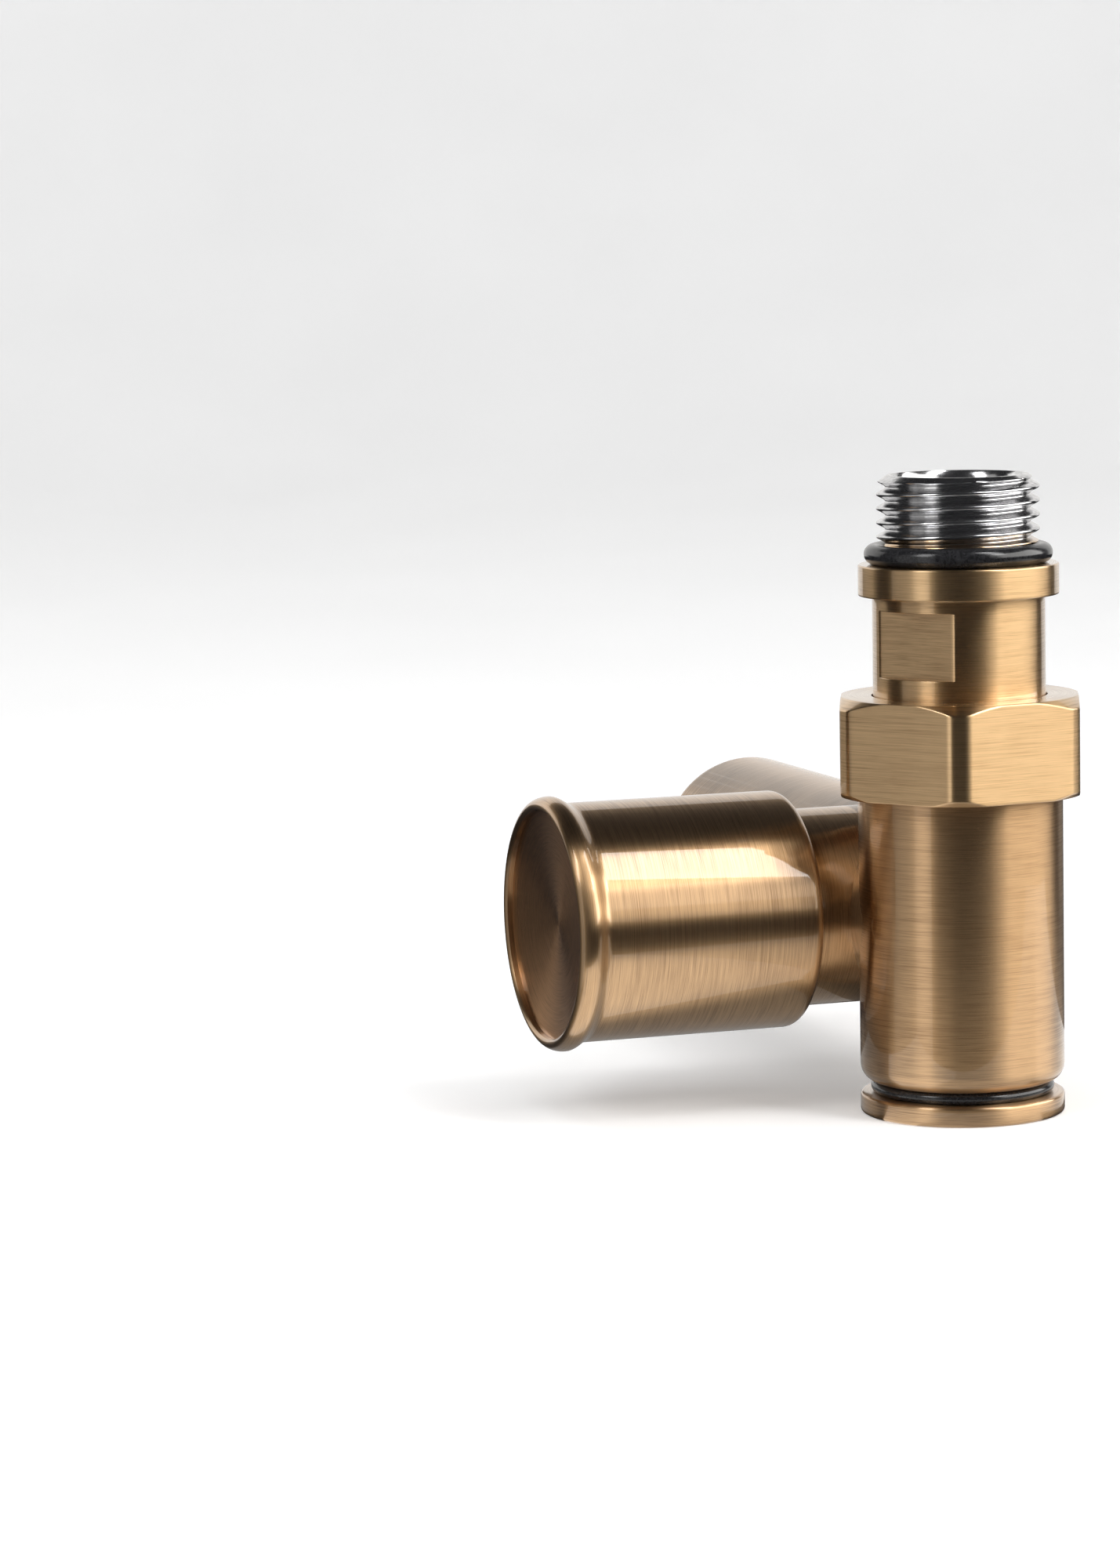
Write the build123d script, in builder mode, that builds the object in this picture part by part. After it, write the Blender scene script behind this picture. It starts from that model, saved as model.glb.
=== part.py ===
"""Corner radiator valve: vertical barrel with a union on top, pipe arm to the back, knob beside the arm.

Millimetres.  The origin is the centre of the bottom plug's face, +Z runs up the barrel, the pipe
arm points along +Y, and the knob along -X on a neck that stands on the arm behind the barrel.
"""
import os
from math import cos, pi, radians, sin, tan

from build123d import *

# ---------------------------------------------------------------- pipe thread, ISO 228 G 1/2
THREAD_PITCH = 1.814
THREAD_MAJOR_R = 20.955 / 2
THREAD_MINOR_R = 18.631 / 2
THREAD_FLANK_ANGLE = 27.5
CREST_WIDTH = 0.30

# ---------------------------------------------------------------- heights along the barrel (Z)
PLUG_HEAD_HEIGHT = 2.6
BARREL_BOTTOM = 4.1
ARM_HEIGHT = 25.0
BARREL_TOP = 41.3
NUT_BOTTOM = 41.5
SPIGOT_TOP = 47.6
GASKET_THICKNESS = 1.5
TAIL_BOTTOM = SPIGOT_TOP + GASKET_THICKNESS
LIP_BOTTOM = 51.4
NUT_TOP = 54.25
FLATS_BOTTOM = 56.9
FLATS_TOP = 65.4
COLLAR_BOTTOM = 67.1
COLLAR_TOP = 71.1
TAIL_TOP = 82.5

# ---------------------------------------------------------------- radii about the barrel axis
BARREL_R = 13.2
BARREL_EDGE_FILLET = 2.2
SPIGOT_R = 12.10
RUNNING_CLEARANCE = 0.05
CUT_MARGIN = 1.0
NUT_ACROSS_FLATS = 30.5
NUT_CORNER_R = 17.0
NUT_TOP_CIRCLE_R = 15.3
NUT_BOTTOM_CIRCLE_R = 15.9
NUT_CHAMFER_ANGLE = 34
NUT_CORNER_ANGLE = 6.5
TAIL_R = 11.1
TAIL_BORE_R = 8.0
TAIL_MOUTH_R = 8.5
COLLAR_R = 12.9
COLLAR_CHAMFER = 0.3
FLATS_ACROSS = 19.0
FLATS_ANGLE = 32
RELIEF_R = 9.45
FIRST_CREST = 74.0
CREST_COUNT = 5
THREAD_END_R = 8.95
THREAD_END_HEIGHT = 0.3
MOUTH_HEIGHT = 1.0
OUTLET_BORE_R = 8.0
OUTLET_BORE_START = 18.0

# ---------------------------------------------------------------- union gasket, nut ring, radiator O-ring
GASKET_R = 11.6
GASKET_BORE_R = 8.2
LIP_BORE_R = 11.3
SLIP_WASHER_THICKNESS = 0.6
RING_THICKNESS = 1.2
RING_BOTTOM = LIP_BOTTOM - SLIP_WASHER_THICKNESS - RING_THICKNESS
RING_GROOVE_R = 10.2
RING_R = 11.8
RING_GAP = 3.0
RADIATOR_CORD_R = 1.3
RADIATOR_RING_R = 10.8

# ---------------------------------------------------------------- bottom plug
PLUG_HEAD_R = 13.2
PLUG_THREAD_R = 10.0
PLUG_SHANK_R = 10.3
PLUG_LENGTH = 11.5
PLUG_TIP_CHAMFER = 1.0
PLUG_THREAD_SPARE = 1.0
PLUG_CHAMFER = 0.35
PLUG_HEX_ACROSS = 10.0
PLUG_HEX_DEPTH = 5.0
PLUG_CORD_R = 0.75
PLUG_RING_R = 11.1
DRAIN_BORE_R = 7.5

# ---------------------------------------------------------------- pipe arm, distances along +Y
ARM_R = 13.1
ARM_END = 79.0
ARM_EDGE_FILLET = 3.0
SOCKET_DEPTH = 14.0
SOCKET_CHAMFER = 0.5
ARM_BORE_R = 10.0
ARM_BORE_START = 33.0

# ---------------------------------------------------------------- waterways around the seat
# Water comes in from the arm under the seat, through the seat into the chamber, and on to the barrel.
INLET_PASSAGE_OFFSET = 7.8
INLET_PASSAGE_WIDTH = 6.8
INLET_PASSAGE_SPAN = 7.0
INLET_PASSAGE_END = 13.9
CHAMBER_R = 9.0
CHAMBER_START = -2.8
CHAMBER_END = 12.5
SEAT_HOLE_R = 5.0
SEAT_RING_R = 6.4
SEAT_FACE = -2.0
PORT_R = 6.0
PORT_OFFSET = 3.0
PORT_END = 15.0

# ---------------------------------------------------------------- neck and headwork, distances along -X
NECK_PLACE = 18.8
NECK_R = 13.0
NECK_END = 24.3
NECK_BORE_R = 10.0
HEADWORK_START = 10.8
HEADWORK_NOSE_R = 8.8
HEADWORK_HEX_ACROSS = 22.0
HEADWORK_HEX_END = 27.3
HEADWORK_CORE_END = 26.3
HEADWORK_END = 31.3
HEADWORK_TIP_R = 7.4
STEM_THREAD_R = 4.95
STEM_THREAD_END = 16.8
STEM_STOP = 20.3
STEM_R = 4.0
STEM_GROOVE_R = 2.9
STEM_GROOVE_WIDTH = 1.5
STEM_CORD_R = 0.55
STEM_CORD_CLEARANCE = 0.02
STEM_RING_PLACES = (21.8, 24.0)
BUSH_START = 27.5
BUSH_END = 29.5
BUSH_R = 5.5
CLIP_END = 30.3
CLIP_R = 6.1
CLIP_INNER_R = 4.6
CLIP_GAP = 3.0
HEADWORK_CORD_R = 0.7
HEADWORK_GROOVE = (22.2, 23.8)

# ---------------------------------------------------------------- closing disc
DISC_R = 8.2
DISC_THICKNESS = 2.0
WASHER_R = 7.5
HUB_R = 5.5
HUB_END = 7.2
JOURNAL_R = 3.5
JOURNAL_START = 3.0
JOURNAL_CORNER = 0.4
SWIVEL_PIN_R = 0.75
SWIVEL_PIN_OFFSET = 3.2
SWIVEL_PIN_PLACE = 5.0
SWIVEL_PIN_HALF = 4.3
WASHER_SCREW_R = 2.0
WASHER_SCREW_HEAD_R = 3.4
WASHER_SCREW_HEAD_HEIGHT = 1.6
SCREW_CHAMFER = 0.5

# ---------------------------------------------------------------- knob
KNOB_START = 17.4
KNOB_END = 51.0
KNOB_R = 15.6
KNOB_BORE_R = 14.0
KNOB_BACK_FILLET = 1.5
BEAD_R = 16.6
BEAD_WIDTH = 4.0
BEAD_LIP = 0.6
CAP_R = 14.9
CAP_SEAT = 45.4
CAP_BACK = 46.4
CAP_RIM = 50.0
CAP_CENTRE = 48.6
CAP_SKIRT_WIDTH = 1.5
INSERT_START = 32.4
INSERT_PLATE_START = 40.9
INSERT_HUB_R = 6.5
INSERT_SCREW_CLEARANCE = 0.4
SPLINE_TEETH = 20
SPLINE_ROOT_R = 3.1
SPLINE_TIP_R = 3.5
SPLINE_CLEARANCE = 0.05
SPLINE_END = 40.4
SPLINE_END_CLEARANCE = 0.2
KNOB_SCREW_R = 1.5
KNOB_SCREW_HOLE_R = 1.7
LOCK_WASHER_BORE_R = 1.6
KNOB_SCREW_HEAD_R = 2.9
KNOB_SCREW_HEAD_HEIGHT = 1.9
KNOB_SCREW_HEX_ACROSS = 2.5
KNOB_SCREW_HEX_DEPTH = 1.1
KNOB_SCREW_SEAT = 42.4
KNOB_SCREW_HOLE_START = 34.4
KNOB_SCREW_START = 34.9
LOCK_WASHER_THICKNESS = 0.6
GUIDE_RING_PLACE = 20.3
GUIDE_RING_WIDTH = 2.0
GUIDE_GROOVE_R = 12.5
GUIDE_RING_R = 13.9

# Planes for turned outlines: local x runs along the part's axis, local y is the radius.
HEAD_PLANE = Plane(origin=(0, NECK_PLACE, ARM_HEIGHT), x_dir=(-1, 0, 0), z_dir=(0, 1, 0))
HEAD_AXIS = Axis((0, NECK_PLACE, ARM_HEIGHT), (-1, 0, 0))
BARREL_PLANE = Plane(origin=(0, 0, 0), x_dir=(0, 0, 1), z_dir=(0, 1, 0))


def head_section(distance):
    """Plane square to the headwork axis, `distance` out from the barrel axis."""
    return Plane(origin=(-distance, NECK_PLACE, ARM_HEIGHT), x_dir=(0, 1, 0), z_dir=(-1, 0, 0))


def arm_section(distance, offset=0.0):
    """Plane square to the pipe arm, `distance` back from the barrel axis, moved along +X by `offset`."""
    return Plane(origin=(offset, distance, ARM_HEIGHT), x_dir=(1, 0, 0), z_dir=(0, 1, 0))


def turned(outline, plane=Plane.XZ, axis=Axis.Z):
    """A lathe-turned piece from its half outline."""
    with BuildPart() as piece:
        with BuildSketch(plane):
            with BuildLine():
                Polyline(*outline, close=True)
            make_face()
        revolve(axis=axis)
    return piece


def turned_on_head(outline):
    """A piece turned about the headwork axis, from (distance, radius) points."""
    return turned(outline, HEAD_PLANE, HEAD_AXIS)


def o_rings(places, ring_r, cord_r, plane, axis):
    """O-rings about one axis, one at each (x, y) place of its cord's centre."""
    with BuildPart() as rings:
        with BuildSketch(plane):
            with Locations(*[(place, ring_r) for place in places]):
                Circle(cord_r)
        revolve(axis=axis)
    return rings


def spline_points(growth=0.0):
    """Corners of the stem's toothed end, tip and root in turn."""
    step = pi / SPLINE_TEETH
    radii = (SPLINE_TIP_R + growth, SPLINE_ROOT_R + growth)
    return [(radii[i % 2] * cos(i * step), radii[i % 2] * sin(i * step)) for i in range(2 * SPLINE_TEETH)]


def save(piece, name):
    """Label a finished piece and write its STEP file."""
    piece.part.label = name
    export_step(piece.part, f"parts/{name}.step")


os.makedirs("parts", exist_ok=True)

# ================================================================ valve body
with BuildPart() as valve_body:
    with BuildSketch(Plane.XY.offset(BARREL_BOTTOM)):
        Circle(BARREL_R)
    extrude(amount=BARREL_TOP - BARREL_BOTTOM)
    with BuildSketch(head_section(0)):
        Circle(NECK_R)
    extrude(amount=NECK_END)
    with BuildSketch(arm_section(0)):
        Circle(ARM_R)
    extrude(amount=ARM_END)
    arm_end_edge = valve_body.edges().filter_by(GeomType.CIRCLE).sort_by(Axis.Y)[-1]
    barrel_bottom_edge = valve_body.edges().filter_by(GeomType.CIRCLE).sort_by(Axis.Z)[0]
    fillet(arm_end_edge, ARM_EDGE_FILLET)
    fillet(barrel_bottom_edge, BARREL_EDGE_FILLET)

    # Spigot that the union nut screws on.
    with BuildSketch(Plane.XY.offset(BARREL_TOP)):
        Circle(SPIGOT_R)
    extrude(amount=SPIGOT_TOP - BARREL_TOP)

    # Plug thread and the drain bore above it.
    with BuildSketch(Plane.XY.offset(BARREL_BOTTOM)):
        Circle(PLUG_THREAD_R)
    extrude(amount=PLUG_LENGTH + PLUG_THREAD_SPARE - BARREL_BOTTOM, mode=Mode.SUBTRACT)
    with BuildSketch(Plane.XY.offset(PLUG_LENGTH)):
        Circle(DRAIN_BORE_R)
    extrude(amount=ARM_HEIGHT - PLUG_LENGTH, mode=Mode.SUBTRACT)
    with BuildSketch(Plane.XY.offset(OUTLET_BORE_START)):
        Circle(OUTLET_BORE_R)
    extrude(amount=SPIGOT_TOP - OUTLET_BORE_START, mode=Mode.SUBTRACT)

    # Chamber around the closing disc with a raised seat ring, and the thread that the headwork screws into.
    with BuildSketch(head_section(CHAMBER_START)):
        Circle(CHAMBER_R)
        Circle(SEAT_RING_R, mode=Mode.SUBTRACT)
    extrude(amount=SEAT_FACE - CHAMBER_START, mode=Mode.SUBTRACT)
    with BuildSketch(head_section(SEAT_FACE)):
        Circle(CHAMBER_R)
    extrude(amount=CHAMBER_END - SEAT_FACE, mode=Mode.SUBTRACT)
    with BuildSketch(head_section(CHAMBER_END)):
        Circle(NECK_BORE_R)
    extrude(amount=NECK_END - CHAMBER_END, mode=Mode.SUBTRACT)
    with BuildSketch(head_section(-INLET_PASSAGE_OFFSET)):
        Circle(SEAT_HOLE_R)
    extrude(amount=INLET_PASSAGE_OFFSET + SEAT_FACE, mode=Mode.SUBTRACT)

    # Port from the chamber into the barrel.
    with BuildSketch(arm_section(0, -PORT_OFFSET)):
        Circle(PORT_R)
    extrude(amount=PORT_END, mode=Mode.SUBTRACT)

    # Pipe arm: threaded socket at its end, wide bore, and a slot-shaped passage that runs under the seat.
    with BuildSketch(arm_section(INLET_PASSAGE_END, INLET_PASSAGE_OFFSET)):
        SlotCenterToCenter(INLET_PASSAGE_SPAN, INLET_PASSAGE_WIDTH, rotation=90)
    extrude(amount=ARM_BORE_START - INLET_PASSAGE_END, mode=Mode.SUBTRACT)
    with BuildSketch(arm_section(ARM_BORE_START)):
        Circle(ARM_BORE_R)
    extrude(amount=ARM_END - SOCKET_DEPTH - ARM_BORE_START, mode=Mode.SUBTRACT)
    with BuildSketch(arm_section(ARM_END - SOCKET_DEPTH)):
        Circle(THREAD_MINOR_R)
    extrude(amount=SOCKET_DEPTH, mode=Mode.SUBTRACT)
    socket_edge = valve_body.edges().filter_by(GeomType.CIRCLE).group_by(Axis.Y)[-1].sort_by(SortBy.RADIUS)[0]
    chamfer(socket_edge, SOCKET_CHAMFER)

    # Groove around the neck for the knob's guide ring.
    with BuildSketch(head_section(GUIDE_RING_PLACE)):
        Circle(NECK_R + CUT_MARGIN)
        Circle(GUIDE_GROOVE_R, mode=Mode.SUBTRACT)
    extrude(amount=GUIDE_RING_WIDTH, mode=Mode.SUBTRACT)
save(valve_body, "valve_body")

# ================================================================ bottom plug and its seal
plug_outline = [
    (0, 0),
    (PLUG_HEAD_R - PLUG_CHAMFER, 0),
    (PLUG_HEAD_R, PLUG_CHAMFER),
    (PLUG_HEAD_R, PLUG_HEAD_HEIGHT - PLUG_CHAMFER),
    (PLUG_HEAD_R - PLUG_CHAMFER, PLUG_HEAD_HEIGHT),
    (PLUG_SHANK_R, PLUG_HEAD_HEIGHT),
    (PLUG_SHANK_R, BARREL_BOTTOM),
    (PLUG_THREAD_R, BARREL_BOTTOM),
    (PLUG_THREAD_R, PLUG_LENGTH - PLUG_TIP_CHAMFER),
    (PLUG_THREAD_R - PLUG_TIP_CHAMFER, PLUG_LENGTH),
    (0, PLUG_LENGTH),
]
with BuildPart() as bottom_plug:
    add(turned(plug_outline).part)
    with BuildSketch(Plane.XY):
        RegularPolygon(PLUG_HEX_ACROSS / 2, 6, major_radius=False)
    extrude(amount=PLUG_HEX_DEPTH, mode=Mode.SUBTRACT)
save(bottom_plug, "bottom_plug")

bottom_plug_o_ring = o_rings([PLUG_HEAD_HEIGHT + PLUG_CORD_R], PLUG_RING_R, PLUG_CORD_R, BARREL_PLANE, Axis.Z)
save(bottom_plug_o_ring, "bottom_plug_o_ring")

# ================================================================ union: gasket, nut, its ring and washer
union_gasket = turned([
    (GASKET_BORE_R, SPIGOT_TOP),
    (GASKET_R, SPIGOT_TOP),
    (GASKET_R, TAIL_BOTTOM),
    (GASKET_BORE_R, TAIL_BOTTOM),
])
save(union_gasket, "union_gasket")

with BuildPart() as nut_retaining_ring:
    with BuildSketch(Plane.XY.offset(RING_BOTTOM)):
        Circle(RING_R)
        Circle(RING_GROOVE_R, mode=Mode.SUBTRACT)
        with Locations((RING_R, 0)):
            Rectangle(2 * (RING_R - RING_GROOVE_R + CUT_MARGIN), RING_GAP, mode=Mode.SUBTRACT)
    extrude(amount=RING_THICKNESS)
save(nut_retaining_ring, "nut_retaining_ring")

nut_slip_washer = turned([
    (LIP_BORE_R, LIP_BOTTOM - SLIP_WASHER_THICKNESS),
    (RING_R, LIP_BOTTOM - SLIP_WASHER_THICKNESS),
    (RING_R, LIP_BOTTOM),
    (LIP_BORE_R, LIP_BOTTOM),
])
save(nut_slip_washer, "nut_slip_washer")

nut_cutter_r = NUT_CORNER_R + CUT_MARGIN
corner_drop = (nut_cutter_r - NUT_TOP_CIRCLE_R) * tan(radians(NUT_CHAMFER_ANGLE))
corner_rise = (nut_cutter_r - NUT_BOTTOM_CIRCLE_R) * tan(radians(NUT_CHAMFER_ANGLE))
with BuildPart() as union_nut:
    with BuildSketch(Plane.XY.offset(NUT_BOTTOM)):
        RegularPolygon(NUT_ACROSS_FLATS / 2, 6, major_radius=False, rotation=NUT_CORNER_ANGLE)
        Circle(NUT_CORNER_R, mode=Mode.INTERSECT)
    extrude(amount=NUT_TOP - NUT_BOTTOM)
    with BuildSketch(Plane.XZ):
        with BuildLine():
            Polyline(
                (0, NUT_BOTTOM),
                (NUT_BOTTOM_CIRCLE_R, NUT_BOTTOM),
                (nut_cutter_r, NUT_BOTTOM + corner_rise),
                (nut_cutter_r, NUT_TOP - corner_drop),
                (NUT_TOP_CIRCLE_R, NUT_TOP),
                (0, NUT_TOP),
                close=True,
            )
        make_face()
    revolve(axis=Axis.Z, mode=Mode.INTERSECT)
    with BuildSketch(Plane.XY.offset(NUT_BOTTOM)):
        Circle(SPIGOT_R + RUNNING_CLEARANCE)
    extrude(amount=LIP_BOTTOM - NUT_BOTTOM, mode=Mode.SUBTRACT)
    with BuildSketch(Plane.XY.offset(LIP_BOTTOM)):
        Circle(LIP_BORE_R)
    extrude(amount=NUT_TOP - LIP_BOTTOM, mode=Mode.SUBTRACT)
save(union_nut, "union_nut")

# ================================================================ radiator tailpiece
crest_half = CREST_WIDTH / 2
flank_width = (THREAD_MAJOR_R - THREAD_MINOR_R) * tan(radians(THREAD_FLANK_ANGLE))
tail_outline = [
    (TAIL_BORE_R, TAIL_BOTTOM),
    (TAIL_R, TAIL_BOTTOM),
    (TAIL_R, RING_BOTTOM),
    (RING_GROOVE_R, RING_BOTTOM),
    (RING_GROOVE_R, RING_BOTTOM + RING_THICKNESS),
    (TAIL_R, RING_BOTTOM + RING_THICKNESS),
    (TAIL_R, COLLAR_BOTTOM),
    (COLLAR_R - COLLAR_CHAMFER, COLLAR_BOTTOM),
    (COLLAR_R, COLLAR_BOTTOM + COLLAR_CHAMFER),
    (COLLAR_R, COLLAR_TOP - COLLAR_CHAMFER),
    (COLLAR_R - COLLAR_CHAMFER, COLLAR_TOP),
    (RELIEF_R, COLLAR_TOP),
    (RELIEF_R, FIRST_CREST - crest_half - flank_width),
]
for crest in range(CREST_COUNT):
    crest_z = FIRST_CREST + crest * THREAD_PITCH
    tail_outline += [
        (THREAD_MINOR_R, crest_z - crest_half - flank_width),
        (THREAD_MAJOR_R, crest_z - crest_half),
        (THREAD_MAJOR_R, crest_z + crest_half),
        (THREAD_MINOR_R, crest_z + crest_half + flank_width),
    ]
tail_outline += [
    (THREAD_MINOR_R, TAIL_TOP - THREAD_END_HEIGHT),
    (THREAD_END_R, TAIL_TOP),
    (TAIL_MOUTH_R, TAIL_TOP),
    (TAIL_BORE_R, TAIL_TOP - MOUTH_HEIGHT),
]
with BuildPart() as radiator_tailpiece:
    add(turned(tail_outline).part)
    # Two opposite spanner flats.
    with BuildSketch(Plane.XY.offset(FLATS_BOTTOM)):
        with PolarLocations(FLATS_ACROSS / 2 + TAIL_R / 2, 2, FLATS_ANGLE):
            Rectangle(TAIL_R, 2 * TAIL_R)
    extrude(amount=FLATS_TOP - FLATS_BOTTOM, mode=Mode.SUBTRACT)
save(radiator_tailpiece, "radiator_tailpiece")

radiator_ring_z = COLLAR_TOP + RADIATOR_CORD_R
radiator_o_ring = o_rings([radiator_ring_z], RADIATOR_RING_R, RADIATOR_CORD_R, BARREL_PLANE, Axis.Z)
save(radiator_o_ring, "radiator_o_ring")

# ================================================================ headwork
headwork_outline = [
    (HEADWORK_START, STEM_THREAD_R + RUNNING_CLEARANCE),
    (HEADWORK_START, HEADWORK_NOSE_R),
    (CHAMBER_END, HEADWORK_NOSE_R),
    (CHAMBER_END, NECK_BORE_R),
    (HEADWORK_GROOVE[0], NECK_BORE_R),
    (HEADWORK_GROOVE[0], NECK_BORE_R - 2 * HEADWORK_CORD_R),
    (HEADWORK_GROOVE[1], NECK_BORE_R - 2 * HEADWORK_CORD_R),
    (HEADWORK_GROOVE[1], NECK_BORE_R),
    (HEADWORK_CORE_END, NECK_BORE_R),
    (HEADWORK_CORE_END, HEADWORK_TIP_R),
    (HEADWORK_END, HEADWORK_TIP_R),
    (HEADWORK_END, BUSH_R),
    (CLIP_END, BUSH_R),
    (CLIP_END, CLIP_R),
    (BUSH_END, CLIP_R),
    (BUSH_END, BUSH_R),
    (BUSH_START, BUSH_R),
    (BUSH_START, STEM_R + RUNNING_CLEARANCE),
    (STEM_STOP, STEM_R + RUNNING_CLEARANCE),
    (STEM_STOP, STEM_THREAD_R + RUNNING_CLEARANCE),
]
with BuildPart() as headwork_body:
    add(turned_on_head(headwork_outline).part)
    with BuildSketch(head_section(NECK_END)):
        RegularPolygon(HEADWORK_HEX_ACROSS / 2, 6, major_radius=False)
        Circle(HEADWORK_TIP_R, mode=Mode.SUBTRACT)
    extrude(amount=HEADWORK_HEX_END - NECK_END)
save(headwork_body, "headwork_body")

headwork_o_ring = o_rings(
    [sum(HEADWORK_GROOVE) / 2], NECK_BORE_R - HEADWORK_CORD_R, HEADWORK_CORD_R, HEAD_PLANE, HEAD_AXIS
)
save(headwork_o_ring, "headwork_o_ring")

stem_guide_bush = turned_on_head([
    (BUSH_START, STEM_R + RUNNING_CLEARANCE),
    (BUSH_START, BUSH_R),
    (BUSH_END, BUSH_R),
    (BUSH_END, STEM_R + RUNNING_CLEARANCE),
])
save(stem_guide_bush, "stem_guide_bush")

with BuildPart() as headwork_circlip:
    with BuildSketch(head_section(BUSH_END)):
        Circle(CLIP_R)
        Circle(CLIP_INNER_R, mode=Mode.SUBTRACT)
        with Locations((0, -CLIP_R)):
            Rectangle(CLIP_GAP, 2 * (CLIP_R - CLIP_INNER_R + CUT_MARGIN), mode=Mode.SUBTRACT)
    extrude(amount=CLIP_END - BUSH_END)
save(headwork_circlip, "headwork_circlip")

# ================================================================ stem
pin_cut_r = SWIVEL_PIN_R + RUNNING_CLEARANCE
stem_outline = [
    (JOURNAL_START, 0),
    (JOURNAL_START, JOURNAL_R),
    (SWIVEL_PIN_PLACE - pin_cut_r, JOURNAL_R),
    (SWIVEL_PIN_PLACE - pin_cut_r, SWIVEL_PIN_OFFSET - pin_cut_r),
    (SWIVEL_PIN_PLACE + pin_cut_r, SWIVEL_PIN_OFFSET - pin_cut_r),
    (SWIVEL_PIN_PLACE + pin_cut_r, JOURNAL_R),
    (HUB_END + RUNNING_CLEARANCE, JOURNAL_R),
    (HUB_END + RUNNING_CLEARANCE, STEM_THREAD_R),
    (STEM_THREAD_END, STEM_THREAD_R),
    (STEM_THREAD_END, STEM_R),
]
for place in STEM_RING_PLACES:
    stem_outline += [
        (place - STEM_GROOVE_WIDTH / 2, STEM_R),
        (place - STEM_GROOVE_WIDTH / 2, STEM_GROOVE_R),
        (place + STEM_GROOVE_WIDTH / 2, STEM_GROOVE_R),
        (place + STEM_GROOVE_WIDTH / 2, STEM_R),
    ]
stem_outline += [(INSERT_START, STEM_R), (INSERT_START, 0)]
with BuildPart() as stem:
    add(turned_on_head(stem_outline).part)
    with BuildSketch(head_section(INSERT_START)):
        with BuildLine():
            Polyline(*spline_points(), close=True)
        make_face()
    extrude(amount=SPLINE_END - INSERT_START)
    with BuildSketch(head_section(KNOB_SCREW_HOLE_START)):
        Circle(KNOB_SCREW_R)
    extrude(amount=SPLINE_END - KNOB_SCREW_HOLE_START, mode=Mode.SUBTRACT)
save(stem, "stem")

stem_ring_r = STEM_GROOVE_R + STEM_CORD_R + STEM_CORD_CLEARANCE
stem_o_rings = o_rings(STEM_RING_PLACES, stem_ring_r, STEM_CORD_R, HEAD_PLANE, HEAD_AXIS)
save(stem_o_rings, "stem_o_rings")

# ================================================================ closing disc on the stem's inner end
disc_outline = [
    (0, WASHER_SCREW_R),
    (0, DISC_R),
    (DISC_THICKNESS, DISC_R),
    (DISC_THICKNESS, HUB_R),
    (HUB_END, HUB_R),
    (HUB_END, JOURNAL_R + RUNNING_CLEARANCE),
    (JOURNAL_START - RUNNING_CLEARANCE, JOURNAL_R + RUNNING_CLEARANCE),
    (JOURNAL_START - RUNNING_CLEARANCE, WASHER_SCREW_R),
]
swivel_pin_plane = Plane(
    origin=(-SWIVEL_PIN_PLACE, NECK_PLACE - SWIVEL_PIN_HALF, ARM_HEIGHT + SWIVEL_PIN_OFFSET),
    x_dir=(1, 0, 0),
    z_dir=(0, 1, 0),
)
with BuildPart() as disc_holder:
    add(turned_on_head(disc_outline).part)
    with BuildSketch(swivel_pin_plane):
        Circle(SWIVEL_PIN_R)
    extrude(amount=2 * SWIVEL_PIN_HALF, mode=Mode.SUBTRACT)
save(disc_holder, "disc_holder")

with BuildPart() as swivel_pin:
    with BuildSketch(swivel_pin_plane):
        Circle(SWIVEL_PIN_R)
    extrude(amount=2 * SWIVEL_PIN_HALF)
save(swivel_pin, "swivel_pin")

valve_washer = turned_on_head([
    (SEAT_FACE, WASHER_SCREW_R),
    (SEAT_FACE, WASHER_R),
    (0, WASHER_R),
    (0, WASHER_SCREW_R),
])
save(valve_washer, "valve_washer")

washer_screw = turned_on_head([
    (SEAT_FACE - WASHER_SCREW_HEAD_HEIGHT, 0),
    (SEAT_FACE - WASHER_SCREW_HEAD_HEIGHT, WASHER_SCREW_HEAD_R - SCREW_CHAMFER),
    (SEAT_FACE - WASHER_SCREW_HEAD_HEIGHT + SCREW_CHAMFER, WASHER_SCREW_HEAD_R),
    (SEAT_FACE, WASHER_SCREW_HEAD_R),
    (SEAT_FACE, WASHER_SCREW_R),
    (JOURNAL_START - JOURNAL_CORNER, WASHER_SCREW_R),
    (JOURNAL_START - JOURNAL_CORNER, 0),
])
save(washer_screw, "washer_screw")

# ================================================================ knob
bead_crest = (KNOB_END - BEAD_WIDTH / 2, BEAD_R)
with BuildPart() as knob_shell:
    with BuildSketch(HEAD_PLANE):
        with BuildLine():
            Polyline(
                (KNOB_END - BEAD_WIDTH, KNOB_R),
                (KNOB_START, KNOB_R),
                (KNOB_START, KNOB_BORE_R),
                (CAP_SEAT, KNOB_BORE_R),
                (CAP_SEAT, CAP_R),
                (KNOB_END - BEAD_LIP, CAP_R),
            )
            TangentArc((KNOB_END - BEAD_LIP, CAP_R), (KNOB_END, CAP_R + BEAD_LIP), tangent=(0, 1))
            Spline((KNOB_END, CAP_R + BEAD_LIP), bead_crest, tangents=((0, 1), (-1, 0)))
            Spline(bead_crest, (KNOB_END - BEAD_WIDTH, KNOB_R), tangents=((-1, 0), (-1, 0)))
        make_face()
    revolve(axis=HEAD_AXIS)
    shell_edges = knob_shell.edges().filter_by(GeomType.CIRCLE)
    back_edge = shell_edges.group_by(Axis.X)[-1].sort_by(SortBy.RADIUS)[-1]
    fillet(back_edge, KNOB_BACK_FILLET)
save(knob_shell, "knob_shell")

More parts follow.
